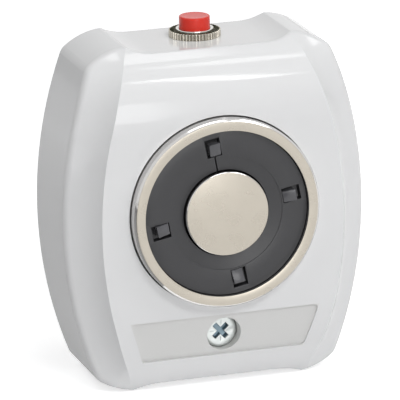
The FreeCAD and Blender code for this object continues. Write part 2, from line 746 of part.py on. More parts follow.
def lock_washer():
    """Washer with teeth round its rim, under the cover's top wall."""
    washer = turned_upright(0, BUTTON_F, [
        (BUSH_RADIUS + CAP_FIT, BUSH_BASE_Z),
        (LOCK_WASHER_RADIUS, BUSH_BASE_Z),
        (LOCK_WASHER_RADIUS, CEILING_Z),
        (BUSH_RADIUS + CAP_FIT, CEILING_Z),
    ])
    notch = block(
        LOCK_WASHER_RADIUS - NUT_TOOTH * 2, LOCK_WASHER_RADIUS + 1,
        BUTTON_F - NUT_TOOTH, BUTTON_F + NUT_TOOTH, BUSH_BASE_Z, CEILING_Z
    )
    notches = []
    for i in range(LOCK_WASHER_TEETH):
        cutter = notch.copy()
        cutter.rotate(at(0, BUTTON_F, 0), UP, 360 / LOCK_WASHER_TEETH * i)
        notches.append(cutter)
    return washer.cut(notches)


def lug_slot(side):
    half = LUG_THICK / 2
    return block(
        side * LUG_X - half, side * LUG_X + half, BUTTON_F - LUG_WIDTH / 2, BUTTON_F + LUG_WIDTH / 2,
        SWITCH_BOTTOM_Z, SWITCH_FLOOR_Z
    )


def switch_housing():
    can = column(0, BUTTON_F, SWITCH_BOTTOM_Z, SWITCH_TOP_Z, SWITCH_RADIUS)
    can = can.cut(column(0, BUTTON_F, SWITCH_FLOOR_Z, SWITCH_TOP_Z, SWITCH_RADIUS - SWITCH_WALL))
    return can.cut([lug_slot(1), lug_slot(-1)])


def switch_contacts():
    """Two fixed contacts: a lug for the wire, and a bent end under the moving bridge."""
    contacts = []
    for side in (1, -1):
        half = LUG_THICK / 2
        near, far = BUTTON_F - LUG_WIDTH / 2, BUTTON_F + LUG_WIDTH / 2
        upright = block(side * LUG_X - half, side * LUG_X + half, near, far, LUG_BOTTOM_Z, CONTACT_Z)
        inner = side * (LUG_X - PAD_REACH)
        ends = sorted([inner, side * LUG_X])
        pad = block(ends[0], ends[1], near, far, CONTACT_Z - LUG_THICK, CONTACT_Z)
        contacts.append(upright.fuse(pad).removeSplitter())
    return Part.makeCompound(contacts)


def button_cap():
    solid = turned_upright(0, BUTTON_F, [
        (NECK_RADIUS, WAIST_Z - CAP_SKIRT),
        (CAP_RADIUS, WAIST_Z - CAP_SKIRT),
        (CAP_RADIUS, CAP_TOP_Z),
        (0, CAP_TOP_Z),
        (0, CAP_TOP_Z - CAP_ROOF),
        (NECK_RADIUS, CAP_TOP_Z - CAP_ROOF),
    ])
    rim = [e for e in solid.Edges if abs(e.CenterOfMass.z - CAP_TOP_Z) < 1e-6 and e.Length > CAP_RADIUS]
    return solid.makeFillet(CAP_RIM, rim)


def button_plunger():
    return turned_upright(0, BUTTON_F, [
        (0, CAP_TOP_Z - CAP_ROOF),
        (NECK_RADIUS, CAP_TOP_Z - CAP_ROOF),
        (NECK_RADIUS, WAIST_Z - CAP_SKIRT),
        (CAP_RADIUS - CAP_FIT, WAIST_Z - CAP_SKIRT),
        (CAP_RADIUS - CAP_FIT, STOP_TOP_Z),
        (STOP_RADIUS, STOP_TOP_Z),
        (STOP_RADIUS, STOP_BASE_Z),
        (SHOULDER_RADIUS_PLUNGER, STOP_BASE_Z),
        (SHOULDER_RADIUS_PLUNGER, BRIDGE_TOP_Z),
        (NOSE_RADIUS, BRIDGE_TOP_Z),
        (NOSE_RADIUS, BRIDGE_BASE_Z - NOSE_LENGTH),
        (0, BRIDGE_BASE_Z - NOSE_LENGTH),
    ])


def contact_bridge():
    disc = column(0, BUTTON_F, BRIDGE_BASE_Z, BRIDGE_TOP_Z, BRIDGE_RADIUS)
    return disc.cut(column(0, BUTTON_F, BRIDGE_BASE_Z, BRIDGE_TOP_Z, NOSE_RADIUS))


def button_spring():
    """Coil spring of half rings, each tilted the other way, which meet end to end."""
    half_turns = round(2 * SPRING_TURNS)
    rise = (BRIDGE_BASE_Z - SWITCH_FLOOR_Z - SPRING_WIRE) / half_turns
    low = SWITCH_FLOOR_Z + SPRING_WIRE / 2
    rings = []
    for i in range(half_turns):
        side = -1 if i % 2 else 1
        start = at(side * SPRING_RADIUS, BUTTON_F, low + i * rise)
        centre = at(0, BUTTON_F, low + (i + 0.5) * rise)
        corners = []
        for k in range(SPRING_WIRE_SIDES):
            angle = 2 * math.pi * (k + 0.5) / SPRING_WIRE_SIDES
            reach = SPRING_WIRE / 2
            corners.append(start + FreeCAD.Vector(reach * math.cos(angle), 0, reach * math.sin(angle)))
        section = Part.Face(Part.makePolygon(corners + corners[:1]))
        axis = (start - centre).cross(FreeCAD.Vector(0, side, 0)).normalize()
        rings.append(section.revolve(centre, axis, 180))
    return rings[0].fuse(rings[1:])


# Circuit board and what is on it

def board_plate(x0, x1, z0, z1):
    plate = block(x0, x1, BOARD_F, BOARD_FRONT_F, z0, z1)
    corners = [e for e in plate.Edges if e.BoundBox.YLength > BOARD_THICK / 2]
    return plate.makeFillet(BOARD_CORNER, corners)


def pins(half):
    """Square pins of the clamps, or the holes for them, from their half width."""
    rear, front = BOARD_F - PIN_PROUD, BOARD_FRONT_F + CLAMP_LIFT
    z = clamp_z()
    return [block(x - half, x + half, rear, front, z - half, z + half) for x in pole_places()]


def circuit_board():
    plate = board_plate(-BOARD_HALF, BOARD_HALF, BOARD_BOTTOM_Z, BOARD_TOP_Z)
    cuts = [rod(0, SCREW_Z, BOARD_F, BOARD_FRONT_F, PILLAR_RADIUS + BASE_GAP)]
    for side in (1, -1):
        cuts.append(rod(side * POST_X, POST_Z, BOARD_F, BOARD_FRONT_F, BOARD_SCREW_RADIUS + HOLE_GAP))
    return plate.cut(cuts + pins(PIN_HALF + THREAD_GAP))


def board_screws():
    screws = []
    for side in (1, -1):
        x = side * POST_X
        top = BOARD_FRONT_F + BOARD_SCREW_HEAD_HEIGHT
        head = domed_head(x, POST_Z, BOARD_FRONT_F, top, BOARD_SCREW_HEAD)
        start = BOARD_FRONT_F - BOARD_SCREW_LENGTH + THREAD_GAP
        screw = head.fuse(rod(x, POST_Z, start, BOARD_FRONT_F, BOARD_SCREW_RADIUS - THREAD_GAP))
        slot = block(
            x - BOARD_SCREW_HEAD, x + BOARD_SCREW_HEAD, top - BOARD_SCREW_HEAD_HEIGHT / 2, top,
            POST_Z - DIODE_WIRE, POST_Z + DIODE_WIRE
        )
        screws.append(screw.cut(slot))
    return Part.makeCompound(screws)


def pole_places():
    return [BLOCK_X + POLE_PITCH * (i + 0.5) for i in range(POLES)]


def clamp_z():
    return BLOCK_Z + BLOCK_DEEP - CLAMP_LONG / 2 - THREAD_GAP


def clamp_room(x, gap):
    """Space that a clamp takes, open upwards, where the wire goes in."""
    half = CLAMP_WIDTH / 2 + gap
    rear = BOARD_FRONT_F + CLAMP_LIFT
    low = clamp_z() - CLAMP_LONG / 2 - gap
    return block(x - half, x + half, rear, rear + CLAMP_TALL + gap, low, BLOCK_Z + BLOCK_DEEP)


def terminal_block():
    """Housing with a sloped front, a screw well and a wire mouth for each pole."""
    front = BOARD_FRONT_F + BLOCK_TALL
    top = BLOCK_Z + BLOCK_DEEP
    corners = [
        at(BLOCK_X, BOARD_FRONT_F, BLOCK_Z),
        at(BLOCK_X, BOARD_FRONT_F, top),
        at(BLOCK_X, front - BLOCK_CHAMFER, top),
        at(BLOCK_X, front, top - BLOCK_CHAMFER),
        at(BLOCK_X, front, BLOCK_Z),
    ]
    housing = Part.Face(Part.makePolygon(corners + corners[:1])).extrude(RIGHT * POLES * POLE_PITCH)
    well_rear = BOARD_FRONT_F + CLAMP_LIFT
    cuts = [rod(x, clamp_z(), well_rear, BEYOND, WELL_RADIUS) for x in pole_places()]
    cuts += [clamp_room(x, THREAD_GAP) for x in pole_places()]
    return housing.cut(cuts + pins(PIN_HALF + THREAD_GAP))


def terminal_clamps():
    """Brass cages that hold the wires, each with a pin through the board."""
    clamps = []
    rear = BOARD_FRONT_F + CLAMP_LIFT
    low, high = clamp_z() - CLAMP_LONG / 2, clamp_z() + CLAMP_LONG / 2
    for x, pin in zip(pole_places(), pins(PIN_HALF)):
        cage = block(x - CLAMP_WIDTH / 2, x + CLAMP_WIDTH / 2, rear, rear + CLAMP_TALL, low, high)
        mouth = column(x, rear + CLAMP_TALL / 2, low, high, CLAMP_HOLE)
        clamps.append(cage.cut(mouth).fuse(pin))
    return Part.makeCompound(clamps)


def terminal_screws():
    screws = []
    seat = BOARD_FRONT_F + CLAMP_LIFT + CLAMP_TALL
    for x in pole_places():
        top = seat + TERMINAL_SCREW_LENGTH
        screw = rod(x, clamp_z(), seat, top, TERMINAL_SCREW_RADIUS)
        slot = block(
            x - TERMINAL_SCREW_RADIUS, x + TERMINAL_SCREW_RADIUS, top - TERMINAL_SCREW_RADIUS / 2, top,
            clamp_z() - DIODE_WIRE, clamp_z() + DIODE_WIRE
        )
        screws.append(screw.cut(slot))
    return Part.makeCompound(screws)


def suppressor_diode():
    """Diode across the coil, lying on the board on two bent legs."""
    axis_f = BOARD_FRONT_F + DIODE_RADIUS
    left = DIODE_X - DIODE_LENGTH / 2
    body = Part.makeCylinder(DIODE_RADIUS, DIODE_LENGTH, at(left, axis_f, DIODE_Z), RIGHT)
    span = DIODE_LENGTH + 2 * DIODE_LEG
    legs = [Part.makeCylinder(DIODE_WIRE, span, at(DIODE_X - span / 2, axis_f, DIODE_Z), RIGHT)]
    for side in (1, -1):
        x = DIODE_X + side * (span / 2 - DIODE_WIRE)
        legs.append(rod(x, DIODE_Z, BOARD_FRONT_F, axis_f, DIODE_WIRE))
    return body.fuse(legs).removeSplitter()


# Inner wires

def wire_along(points, radius):
    """Round wire along straight runs joined by arcs as large as the runs allow."""
    edges = []
    start = points[0]
    bends = []
    for before, corner, after in zip(points, points[1:], points[2:]):
        inward, onward = corner - before, after - corner
        turn = inward.getAngle(onward)
        bend = 0.45 * min(inward.Length, onward.Length) / math.tan(turn / 2)
        bends.append(round(bend, 2))
        back = bend * math.tan(turn / 2)
        first = corner - inward.normalize() * back
        last = corner + onward.normalize() * back
        middle_way = ((first + last) * 0.5 - corner).normalize()
        middle = corner + middle_way * (bend / math.cos(turn / 2) - bend)
        edges += [straight(start, first), curved(first, middle, last)]
        start = last
    edges.append(straight(start, points[-1]))
    path = Part.Wire(edges)
    way = points[1] - points[0]
    circle = Part.Wire(Part.makeCircle(radius, points[0], way))
    wire = path.makePipeShell([circle], True, True)
    ratio = wire.Volume / (math.pi * radius ** 2 * path.Length)
    print("wire length %.1f, bends %s, volume ratio %.4f" % (path.Length, bends, ratio))
    return wire


def coil_leads():
    """From the winding, through the rear of the cup and down onto the board."""
    z = MAGNET_Z - COIL_LEAD_DROP
    start = CUP_FLOOR_F + REAR_FLANGE
    wires = []
    for side in (1, -1):
        x = side * COIL_LEAD_X
        route = [at(x, start, z), at(x, LEAD_F, z), at(x, LEAD_F, BOARD_TOP_Z - LEAD_OVER_BOARD)]
        wires.append(wire_along(route, LEAD_RADIUS))
    return Part.makeCompound(wires)


def switch_leads():
    """From the lugs of the switch, round the tower of the base, down to the board."""
    wires = []
    for side in (1, -1):
        beside = TOWER_RADIUS + 2 * LEAD_RADIUS + BASE_GAP
        route = [
            (LUG_X, LUG_BOTTOM_Z),
            (LUG_X, LUG_BOTTOM_Z - SWITCH_LEAD_RUN),
            (beside, MAGNET_Z + 0.8 * TOWER_RADIUS),
            (beside, BOARD_TOP_Z - SWITCH_LEAD_OVER_BOARD),
        ]
        wires.append(wire_along([at(side * x, LEAD_F, z) for x, z in route], LEAD_RADIUS))
    return Part.makeCompound(wires)


PIECES = {
    "cover": cover,
    "base": base,
    "magnet_cup": magnet_cup,
    "magnet_core": magnet_core,
    "coil_bobbin": coil_bobbin,
    "coil_winding": coil_winding,
    "magnet_screw": magnet_screw,
    "magnet_washer": magnet_washer,
    "cover_screw": cover_screw,
    "screw_insert": screw_insert,
    "button_nut": knurled_nut,
    "button_bush": button_bush,
    "button_lock_washer": lock_washer,
    "switch_housing": switch_housing,
    "switch_contacts": switch_contacts,
    "button_cap": button_cap,
    "button_plunger": button_plunger,
    "contact_bridge": contact_bridge,
    "button_spring": button_spring,
    "circuit_board": circuit_board,
    "board_screws": board_screws,
    "terminal_block": terminal_block,
    "terminal_clamps": terminal_clamps,
    "terminal_screws": terminal_screws,
    "suppressor_diode": suppressor_diode,
    "coil_leads": coil_leads,
    "switch_leads": switch_leads,
}

os.makedirs("parts", exist_ok=True)
for name, make in PIECES.items():
    shape = make()
    shape.exportStep("parts/%s.step" % name)
    print(name, shape.isValid(), len(shape.Solids), round(shape.Volume, 1))
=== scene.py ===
import math

import bmesh
import bpy
from mathutils import Matrix, Vector


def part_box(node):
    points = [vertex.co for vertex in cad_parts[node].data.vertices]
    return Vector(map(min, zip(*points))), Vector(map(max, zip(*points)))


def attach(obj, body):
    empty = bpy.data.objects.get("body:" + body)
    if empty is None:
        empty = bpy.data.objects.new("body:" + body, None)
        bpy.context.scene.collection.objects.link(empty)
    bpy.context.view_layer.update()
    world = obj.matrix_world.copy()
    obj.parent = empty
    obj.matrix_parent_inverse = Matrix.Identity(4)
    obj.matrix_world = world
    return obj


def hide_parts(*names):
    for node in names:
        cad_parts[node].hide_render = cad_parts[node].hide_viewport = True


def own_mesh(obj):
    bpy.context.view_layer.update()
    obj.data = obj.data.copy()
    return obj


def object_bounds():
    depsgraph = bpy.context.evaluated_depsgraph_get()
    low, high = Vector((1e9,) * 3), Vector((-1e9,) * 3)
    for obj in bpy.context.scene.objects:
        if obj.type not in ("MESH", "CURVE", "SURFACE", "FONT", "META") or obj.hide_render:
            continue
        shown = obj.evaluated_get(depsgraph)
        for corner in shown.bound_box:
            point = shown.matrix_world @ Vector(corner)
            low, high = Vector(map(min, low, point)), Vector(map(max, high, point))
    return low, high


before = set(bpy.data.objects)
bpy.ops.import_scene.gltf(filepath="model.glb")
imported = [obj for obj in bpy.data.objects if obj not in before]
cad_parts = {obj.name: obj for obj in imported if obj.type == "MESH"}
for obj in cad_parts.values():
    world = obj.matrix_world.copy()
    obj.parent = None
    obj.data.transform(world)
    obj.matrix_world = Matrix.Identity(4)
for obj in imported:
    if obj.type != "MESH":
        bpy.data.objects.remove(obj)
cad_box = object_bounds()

# Lengths are millimetres until they reach Blender. F is the distance from the wall.
MM = 0.001
FORWARD = Vector((0, -1, 0))
UPWARD = Vector((0, 0, 1))
RIGHT = Vector((1, 0, 0))
HOUSING = "housing"
BUTTON = "button"

# Camera at the photograph's angle, for an image of 400 by 400
AZIMUTH = -17.6
ELEVATION = 16.33
ROLL = 1.05
CAMERA_DISTANCE = 1250.0
CAMERA_AIM = (-0.564, -14.617, 0.665)
CAMERA_LENS = 421.9
SENSOR = 36.0

# Studio
WORLD_FILL = 0.06
FLOOR_COLOUR = (0.86, 0.86, 0.865)
FLOOR_GLOW = 0.62
FLOOR_HALF = 5.0
FLOOR_GAP = 0.2
LAMPS = [
    # name, direction from the object, distance in metres, width, height, watts, mirrored
    ("front", (0.0, -1.0, 0.15), 1.6, 0.9, 0.7, 5.6, True),
    ("high in front", (0.1, -0.75, 0.7), 1.4, 0.7, 0.3, 5.0, False),
    ("top", (0.02, -0.25, 1.0), 1.2, 0.66, 0.3, 1.8, True),
    ("top left", (-0.5, -0.15, 0.85), 1.3, 0.6, 0.5, 3.2, False),
    ("top right", (0.6, -0.3, 0.8), 1.3, 0.6, 0.5, 3.6, True),
    ("behind", (0.1, 1.0, 0.2), 1.6, 0.9, 0.6, 5.0, False),
    ("strip for the upper panel", (0.285, -0.707, 0.645), 1.4, 0.03, 0.24, 0.2, True),
    ("strip for the top edge", (0.30, -0.47, 0.84), 1.4, 0.08, 0.12, 0.10, True),
]
# Card on the floor at the left, darker near the front, which only mirrored rays see
CARD_LEFT = -1.6
CARD_RIGHT = -0.03
CARD_FRONT = -0.30
CARD_BACK = 0.45
CARD_FRONT_GLOW = 0.1
CARD_BACK_GLOW = 1.1

# Label field in the cover
LABEL_TOP_Z = -25.75
LABEL_TOP_HALF = 26.3
LABEL_BOTTOM_Z = -37.6
LABEL_BOTTOM_HALF = 22.5
LABEL_FRONT = 20.0

# Depth of the threads on the screw and the bush
THREAD_DEPTH = 0.3

# Magnet
CUP_CHAMFER = 0.6
CUP_WALL = 3.05
CUP_FLOOR = 5.0
SPIGOT_RADIUS = 6.0
POLE_BORE = 2.55
POLE_BORE_DEPTH = 8.6
POLE_EDGE = 0.25
BOBBIN_INNER = 11.8
BOBBIN_TUBE = 1.7
FLANGE_GAP = 0.22
FRONT_FLANGE = 3.4
REAR_FLANGE = 1.5
STEP_RADIUS = 15.5
STEP_DEPTH = 0.25
WINDOWS = 4
WINDOW_START = 10.5
WINDOW_INNER = 15.8
WINDOW_OUTER = 20.8
WINDOW_WIDTH = 4.1
WINDOW_DEPTH = 2.4
HOOK_WIDTH = 3.0
HOOK_ASIDE = 0.35
HOOK_GAP = 0.3
HOOK_ROOT = 0.6
HOOK_TIP = 0.9
HOOK_FOOT_SUNK = 0.15
HOOK_LENGTH = 3.5
SLIT_WIDTH = 0.35

# Cover screw
SCREW_HEAD_HEIGHT = 2.4
SCREW_CROWN = 0.7
SCREW_FLAT = 0.84
SCREW_SPREAD = 0.15
SCREW_RADIUS = 2.0
SCREW_PITCH = 0.7
SCREW_POINT = 0.5
CROSS_SPAN = 5.4
CROSS_WIDTH = 1.45
CROSS_DEPTH = 1.7
CROSS_TURN = 42.0
CROSS_TAPER = (0.8, 1.0, 0.85)
TICK_LENGTH = 1.5
TICK_WIDTH = 0.22
TICK_DEPTH = 0.25

# Release button
NUT_TEETH = 48
NUT_TOOTH = 0.35
# Share of a tooth's step at which the gap beside it starts and ends
GAP_FROM = 0.45
GAP_TO = 0.95
NUT_BORE = 5.05
NUT_COUNTERSINK = 0.25
BUSH_BORE = 4.225
BUSH_RADIUS = 5.0
BUSH_FLANGE = 1.0
BUSH_PITCH = 0.75
CAP_RIM = 0.4
CAP_DISH = 0.05
CAP_FLAT_RIM = 0.5
CAP_BORE = 1.6
CAP_ROOF = 2.2
SPRING_WIRE = 0.4
SPRING_TURNS = 3.5


class Measured:
    """A CAD node's place and size in millimetres, from its box."""

    def __init__(self, name):
        low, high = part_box(name)
        self.front = -low.y / MM
        self.rear = -high.y / MM
        self.low = low.z / MM
        self.high = high.z / MM
        self.centre = Vector(((low.x + high.x) / 2, (low.y + high.y) / 2, (low.z + high.z) / 2)) / MM
        self.radius = (high.x - low.x) / 2 / MM


class Value:
    """A socket of a finish's nodes, which can be used in sums."""

    def __init__(self, finish, socket):
        self.finish = finish
        self.socket = socket

    def maths(self, operation, first, second):
        return self.finish.node("ShaderNodeMath", {"operation": operation}, {0: first, 1: second})

    def __add__(self, other):
        return self.maths("ADD", self, other)

    def __radd__(self, other):
        return self.maths("ADD", other, self)

    def __sub__(self, other):
        return self.maths("SUBTRACT", self, other)

    def __rsub__(self, other):
        return self.maths("SUBTRACT", other, self)

    def __mul__(self, other):
        return self.maths("MULTIPLY", self, other)

    def __rmul__(self, other):
        return self.maths("MULTIPLY", other, self)

    def __gt__(self, other):
        return self.maths("GREATER_THAN", self, other)

    def __lt__(self, other):
        return self.maths("LESS_THAN", self, other)

    def size(self):
        return self.maths("ABSOLUTE", self, 0)

    def clipped(self):
        return self.finish.node("ShaderNodeClamp", {}, {0: self})


class Finish:
    """A material with the nodes that give it its look."""

    def __init__(self, name, **constants):
        self.material = bpy.data.materials.new(name)
        self.material.use_nodes = True
        self.tree = self.material.node_tree
        self.shader = self.tree.nodes["Principled BSDF"]
        for socket, value in constants.items():
            self.shader.inputs[socket.replace("_", " ")].default_value = value

    def node(self, kind, settings, inputs, output=0):
        made = self.tree.nodes.new(kind)
        for key, value in settings.items():
            if key == "stops":
                self.set_stops(made.color_ramp, value)
            else:
                setattr(made, key, value)
        for key, value in inputs.items():
            self.feed(made.inputs[key], value)
        return Value(self, made.outputs[output])

    def set_stops(self, ramp, stops):
        while len(ramp.elements) < len(stops):
            ramp.elements.new(0.5)
        for element, (place, shade) in zip(ramp.elements, stops):
            element.position = place
            element.color = (shade, shade, shade, 1)

    def feed(self, socket, value):
        if isinstance(value, Value):
            self.tree.links.new(value.socket, socket)
        elif socket.type == "RGBA" and len(value) == 3:
            socket.default_value = (*value, 1)
        else:
            socket.default_value = value

    def place(self):
        """Object coordinates in millimetres."""
        spot = self.node("ShaderNodeTexCoord", {}, {}, "Object")
        return self.node("ShaderNodeVectorMath", {"operation": "SCALE"}, {0: spot, "Scale": 1 / MM})

    def axes(self, place):
        parts = self.node("ShaderNodeSeparateXYZ", {}, {0: place}).socket.node
        return [Value(self, output) for output in parts.outputs]

    def noise(self, place, scale, detail=4.0, roughness=0.55):
        inputs = {"Vector": place, "Scale": scale, "Detail": detail, "Roughness": roughness}
        return self.node("ShaderNodeTexNoise", {}, inputs)

    def stretched(self, place, scale):
        return self.node("ShaderNodeVectorMath", {"operation": "MULTIPLY"}, {0: place, 1: scale})

    def blend(self, mask, first, second):
        settings = {"data_type": "RGBA"}
        return self.node("ShaderNodeMix", settings, {"Factor": mask, 6: first, 7: second}, 2)

    def bump(self, height, depth, strength=1.0):
        inputs = {"Height": height, "Distance": depth * MM, "Strength": strength}
        return self.node("ShaderNodeBump", {}, inputs)

    def gives(self, **outputs):
        for socket, value in outputs.items():
            self.feed(self.shader.inputs[socket.replace("_", " ")], value)
        return self.material


def housing_white():
    """Glossy white moulding, greyer and matter in the label field."""
    finish = Finish("housing white", IOR=1.5)
    place = finish.place()
    x, y, z = finish.axes(place)
    cloud = finish.noise(place, 0.05)
    fine = finish.noise(place, 2.6, 2.0)
    slope = (LABEL_TOP_HALF - LABEL_BOTTOM_HALF) / (LABEL_TOP_Z - LABEL_BOTTOM_Z)
    half = LABEL_BOTTOM_HALF + (z - LABEL_BOTTOM_Z) * slope
    field = (x.size() < half) * (z < LABEL_TOP_Z) * (z > LABEL_BOTTOM_Z) * (y < -LABEL_FRONT)
    colour = finish.blend(cloud, (0.80, 0.803, 0.81), (0.825, 0.83, 0.835))
    colour = finish.blend(field, colour, (0.725, 0.725, 0.715))
    roughness = 0.05 + cloud * 0.03 + field * 0.38
    ripple = finish.bump(finish.noise(place, 0.3, 1.0), 0.02, 0.2)
    grain = finish.node(
        "ShaderNodeBump", {},
        {"Height": fine, "Distance": 0.02 * MM, "Strength": field * 0.6, "Normal": ripple}
    )
    return finish.gives(Base_Color=colour, Roughness=roughness, Normal=grain)


def mottled(name, colour, roughness, metallic=0.0, mottle=0.08, grain=2.0, depth=0.01, **constants):
    """A finish with a soft mottle and a fine grain."""
    finish = Finish(name, **constants)
    place = finish.place()
    cloud = finish.noise(place, 0.25)
    fine = finish.noise(place, grain, 2.0)
    darker = tuple(c * (1 - mottle) for c in colour)
    lighter = tuple(min(1, c * (1 + mottle)) for c in colour)
    return finish.gives(
        Base_Color=finish.blend(cloud, darker, lighter),
        Roughness=roughness - 0.05 + cloud * 0.1,
        Metallic=metallic,
        Normal=finish.bump(fine, depth)
    )


def nickel_plate():
    """Warm nickel: ground flat in front, brighter on the turned sides."""
    finish = Finish("nickel plate")
    place = finish.place()
    x, y, z = finish.axes(place)
    cloud = finish.noise(place, 0.16, 5.0)
    lines = finish.noise(finish.stretched(place, (5.0, 0.5, 0.4)), 1.0, 3.0)
    front = y < -(MAGNET.front - 0.06)
    colour = finish.blend(cloud, (0.425, 0.392, 0.335), (0.485, 0.448, 0.388))
    colour = finish.blend(front, (0.62, 0.61, 0.60), colour)
    roughness = 0.1 + front * (0.12 + cloud * 0.12)
    return finish.gives(
        Base_Color=colour, Roughness=roughness, Metallic=1.0,
        Normal=finish.bump(lines * front, 0.0004)
    )


def knurled_nickel():
    """Nickel with painted shade in the grooves between the teeth, and a painted dark reflection with
    patchy stains on its top.
    """
    finish = Finish("nickel knurl", Specular_Tint=(0.4, 0.39, 0.36, 1))
    place = finish.place()
    nut = Measured("button_nut")
    x, y, z = finish.axes(place)
    aside, back = x - nut.centre.x, y - nut.centre.y
    square = aside * aside + back * back
    # Painted shade: the grooves between the teeth are coloured darker than the teeth.
    groove_shade = (square > (BUSH_RADIUS + 0.6) ** 2) * (square < (nut.radius - NUT_TOOTH * 0.4) ** 2)
    groove_shade = groove_shade * (z < nut.high - 0.1)
    cloud = finish.noise(place, 0.8)
    colour = finish.blend(cloud, (0.60, 0.565, 0.49), (0.72, 0.68, 0.60))
    colour = finish.blend(groove_shade, colour, (0.36, 0.335, 0.28))
    # Painted reflection with patchy stains: the top land is coloured nearly black in patches, standing in
    # for the dark surroundings it mirrors.
    land = (z > nut.high - 0.1) * (square < (nut.radius - NUT_TOOTH) ** 2)
    patches = finish.node("ShaderNodeValToRGB", {"stops": [(0.4, 0.0), (0.6, 1.0)]}, {0: cloud})
    dark_reflection_and_stain = finish.blend(patches, (0.02, 0.03, 0.026), (0.12, 0.12, 0.11))
    colour = finish.blend(land, colour, dark_reflection_and_stain)
    return finish.gives(
        Base_Color=colour, Roughness=0.14 + cloud * 0.08, Metallic=1.0,
        Normal=finish.bump(finish.noise(place, 2.0, 2.0), 0.01)
    )


def screw_zinc():
    """Pale passivated zinc, with painted blue-grey shade down in the cross recess."""
    finish = Finish("screw zinc")
    place = finish.place()
    x, y, z = finish.axes(place)
    screw = Measured("cover_screw")
    cloud = finish.noise(place, 0.6)
    fine = finish.noise(place, 5.0, 2.0)
    # Painted shade: the cross recess is coloured darker and bluer the deeper it goes.
    deep = ((y + (screw.front - 0.15)) * 2.5).clipped()
    across = x.size() < CROSS_SPAN / 2
    up = (z - screw.centre.z).size() < CROSS_SPAN / 2
    recess = deep * across * up
    colour = finish.blend(cloud, (0.64, 0.68, 0.665), (0.72, 0.745, 0.73))
    colour = finish.blend(recess, colour, (0.20, 0.27, 0.31))
    return finish.gives(
        Base_Color=colour, Roughness=0.28 + cloud * 0.1, Metallic=0.75, Normal=finish.bump(fine, 0.02)
    )


def copper_wire():
    """Enamelled wire wound side by side, with a painted highlight on each turn and painted shade between
    the turns.
    """
    finish = Finish("copper wire", Coat_Weight=0.5)
    place = finish.place()
    x, y, z = finish.axes(place)
    turns = finish.node("ShaderNodeMath", {"operation": "SINE"}, {0: y * (2 * math.pi / 0.45)})
    cloud = finish.noise(place, 0.3)
    # Painted light: the colour runs from dark between the turns to bright on their crests.
    colour = finish.blend(turns * 0.5 + 0.5, (0.30, 0.09, 0.03), (0.72, 0.30, 0.12))
    return finish.gives(
        Base_Color=colour, Roughness=0.25 + cloud * 0.1, Metallic=1.0, Normal=finish.bump(turns, 0.1)
    )


def board_laminate():
    """Green lacquered glass laminate with lighter tracks under the lacquer."""
    finish = Finish("board laminate", Coat_Weight=0.3)
    place = finish.place()
    weave = finish.node("ShaderNodeTexChecker", {}, {"Vector": place, "Scale": 2.0}, 1)
    paths = finish.node("ShaderNodeTexBrick", {}, {"Vector": place, "Scale": 0.12}, 1)
    cloud = finish.noise(place, 0.4)
    colour = finish.blend(paths, (0.02, 0.17, 0.06), (0.03, 0.28, 0.10))
    colour = finish.blend(weave * 0.25, colour, (0.05, 0.22, 0.08))
    return finish.gives(
        Base_Color=colour, Roughness=0.28 + cloud * 0.12, Normal=finish.bump(paths + cloud * 0.3, 0.03)
    )


MAGNET = Measured("magnet_cup")
FINISHES = {
    "cover": housing_white(),
    "nickel": nickel_plate(),
    "dark": mottled("dark plastic", (0.034, 0.034, 0.037), 0.34, mottle=0.12, grain=4.0, depth=0.02),
    "zinc": mottled("zinc plate", (0.74, 0.78, 0.78), 0.24, 1.0, mottle=0.05),
    # Hooks: the bobbin's dark plastic made lighter, painted light for the light that the hooks catch.
    "hook": mottled("hook plastic with painted light", (0.085, 0.085, 0.093), 0.2, mottle=0.25, grain=3.0, depth=0.03),
    "screw": screw_zinc(),
    "knurl": knurled_nickel(),
    "bush": mottled("nickel bush", (0.70, 0.68, 0.64), 0.14, 1.0, mottle=0.04),
    "red": mottled(
        "red plastic", (0.78, 0.036, 0.02), 0.2, mottle=0.10, depth=0.008, Specular_IOR_Level=0.3
    ),
    "base": mottled("base plastic", (0.62, 0.625, 0.63), 0.42, mottle=0.04, grain=3.0, depth=0.02),
    "copper": copper_wire(),
    "brass": mottled("brass", (0.72, 0.53, 0.24), 0.24, 1.0, mottle=0.1),
    "spring": mottled("spring steel", (0.56, 0.57, 0.58), 0.22, 1.0, mottle=0.08),
    "board": board_laminate(),
    "block": mottled("terminal plastic", (0.03, 0.22, 0.13), 0.36, mottle=0.1),
    "black": mottled("black insulation", (0.022, 0.022, 0.024), 0.4, mottle=0.2),
    "red wire": mottled("red insulation", (0.52, 0.025, 0.02), 0.38, mottle=0.15),
}
CAD_FINISHES = {
    "cover": "cover", "base": "base", "coil_winding": "copper", "magnet_screw": "zinc",
    "magnet_washer": "zinc", "screw_insert": "brass", "button_lock_washer": "spring",
    "switch_housing": "dark", "switch_contacts": "brass", "button_plunger": "base",
    "contact_bridge": "brass", "circuit_board": "board", "board_screws": "zinc",
    "terminal_block": "block", "terminal_clamps": "brass", "terminal_screws": "zinc",
    "suppressor_diode": "black", "coil_leads": "red wire", "switch_leads": "black",
    "magnet_cup": "nickel", "magnet_core": "nickel", "coil_bobbin": "dark", "cover_screw": "screw",
    "button_nut": "knurl", "button_bush": "bush", "button_cap": "red", "button_spring": "spring",
}


def dress_cad_nodes():
    for name, finish in CAD_FINISHES.items():
        dress(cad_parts[name], finish)


def deselect():
    bpy.ops.object.select_all(action="DESELECT")


def activate(piece):
    deselect()
    piece.select_set(True)
    bpy.context.view_layer.objects.active = piece


def edit(piece):
    activate(piece)
    bpy.ops.object.mode_set(mode="EDIT")


def close_edit():
    bpy.ops.object.mode_set(mode="OBJECT")


